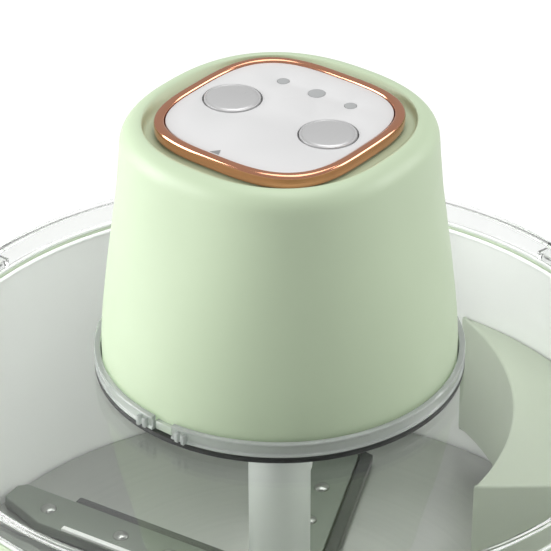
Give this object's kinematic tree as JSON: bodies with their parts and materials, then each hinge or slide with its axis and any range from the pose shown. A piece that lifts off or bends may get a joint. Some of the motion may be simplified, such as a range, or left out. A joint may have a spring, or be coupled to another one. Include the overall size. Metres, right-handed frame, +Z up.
{
  "type": "electric garlic peeler",
  "caption": "Countertop garlic peeler: a round tub with a spinning peeling disc, a clear lid, a lift-off battery motor head with push buttons, a side outlet and a skin drawer.",
  "frame": {"origin": "middle of the footprint's box, at the height of the surface that the feet stand on; the machine's own axis stands 15.1 mm towards -X and 2.2 mm towards +Y from it", "axes": "+Z up along the machine's axis, -Y towards the skin drawer, +X towards the outlet"},
  "size_m": [0.2902, 0.2596, 0.2569],
  "materials": {
    "green_plastic": "satin pastel green moulding",
    "clear_plastic": "clear polished moulding",
    "satin_steel": "satin stainless sheet",
    "zinc_plate": "bright zinc plating",
    "rose_gold": "polished rose-gold anodised",
    "silver_panel": "silver grey, soft gloss",
    "smoked_lens": "smoked, smooth",
    "dark_silicone": "matt",
    "grey_silicone": "matt",
    "grey_plastic": "satin",
    "black_plastic": "fine matt grain",
    "brass": "machined",
    "white_acetal": "moulded, smooth",
    "board_green": "lacquered board",
    "cell_sleeve": "shrink sleeve"
  },
  "bodies": {
    "base": {"base_housing": "green_plastic", "steel_drum": "satin_steel", "bottom_plate": "grey_plastic", "rubber_foot_1": "dark_silicone", "rubber_foot_2": "dark_silicone", "rubber_foot_3": "dark_silicone", "rubber_foot_4": "dark_silicone", "rotor_spindle": "satin_steel", "spindle_nut": "zinc_plate", "thrust_washer": "brass", "guide_block": "green_plastic", "outlet_spout": "green_plastic", "gate_pin": "satin_steel"},
    "gate": {"outlet_gate": "green_plastic"},
    "drawer": {"skin_drawer": "green_plastic"},
    "rotor": {"peeling_disc": "satin_steel", "drive_column": "grey_plastic", "drive_socket": "satin_steel", "hub_nut": "zinc_plate", "rotor_arm_1": "satin_steel", "rotor_arm_2": "satin_steel", "rotor_arm_3": "satin_steel", "rotor_arm_4": "satin_steel", "rotor_arm_5": "satin_steel", "wiper_strip_1": "dark_silicone", "wiper_strip_2": "dark_silicone", "wiper_strip_3": "dark_silicone", "wiper_strip_4": "dark_silicone", "wiper_strip_5": "dark_silicone"},
    "lid": {"clear_lid": "clear_plastic", "lid_gasket": "grey_silicone", "head_seal": "dark_silicone", "head_collar": "clear_plastic"},
    "head": {"head_housing": "green_plastic", "trim_ring": "rose_gold", "control_panel": "silver_panel", "indicator_lenses": "smoked_lens", "peel_switch": "black_plastic", "eject_switch": "black_plastic", "control_board": "board_green", "head_base_plate": "grey_plastic", "head_plate_screw_1": "zinc_plate", "head_plate_screw_2": "zinc_plate", "motor_plate": "zinc_plate", "drive_motor": "zinc_plate", "lower_bearing": "brass", "upper_bearing": "brass", "gear_pin": "satin_steel", "battery_cell_1": "cell_sleeve", "battery_cell_2": "cell_sleeve", "battery_holder": "black_plastic", "charge_socket": "black_plastic"},
    "peel_button": {"peel_button": "silver_panel"},
    "eject_button": {"eject_button": "silver_panel"},
    "output_drive": {"output_gear": "white_acetal", "output_shaft": "satin_steel"},
    "compound": {"compound_gear": "white_acetal"},
    "motor_rotor": {"motor_pinion": "brass", "motor_shaft": "satin_steel"}
  },
  "joints": [
    {"name": "lid_lift", "type": "slide", "parent": "base", "child": "lid", "axis": [0, 0, 1], "range_m": [0, 0.12]},
    {"name": "head_lift", "type": "slide", "parent": "lid", "child": "head", "axis": [0, 0, 1], "range_m": [0, 0.12]},
    {"name": "peel_button_press", "type": "slide", "parent": "head", "child": "peel_button", "axis": [0, 0, -1], "range_m": [0, 0.0008], "stiffness_N_per_m": 600, "springref_m": -0.002},
    {"name": "eject_button_press", "type": "slide", "parent": "head", "child": "eject_button", "axis": [0, 0, -1], "range_m": [0, 0.0008], "stiffness_N_per_m": 600, "springref_m": -0.002},
    {"name": "disc_spin", "type": "hinge", "parent": "base", "child": "rotor", "pos_m": [-0.01512, 0.00219, 0.058], "axis": [0, 0, 1], "continuous": true},
    {"name": "output_spin", "type": "hinge", "parent": "head", "child": "output_drive", "pos_m": [-0.01512, 0.00219, 0.178], "axis": [0, 0, 1], "continuous": true},
    {"name": "compound_spin", "type": "hinge", "parent": "head", "child": "compound", "pos_m": [-0.01512, 0.03094, 0.182], "axis": [0, 0, 1], "continuous": true},
    {"name": "motor_spin", "type": "hinge", "parent": "head", "child": "motor_rotor", "pos_m": [-0.03199, 0.01084, 0.186], "axis": [0, 0, 1], "continuous": true},
    {"name": "drawer_slide", "type": "slide", "parent": "base", "child": "drawer", "axis": [0, -1, 0], "range_m": [0, 0.12]},
    {"name": "gate_hinge", "type": "hinge", "parent": "base", "child": "gate", "pos_m": [0.11252, 0.03319, 0.0988], "axis": [0, -1, 0], "range_deg": [0, 70]}
  ],
  "couplings": [
    {"joint": "output_spin", "follows": "disc_spin", "ratio": 1},
    {"joint": "compound_spin", "follows": "disc_spin", "ratio": -2.8333},
    {"joint": "motor_spin", "follows": "disc_spin", "ratio": 7.0833}
  ]
}
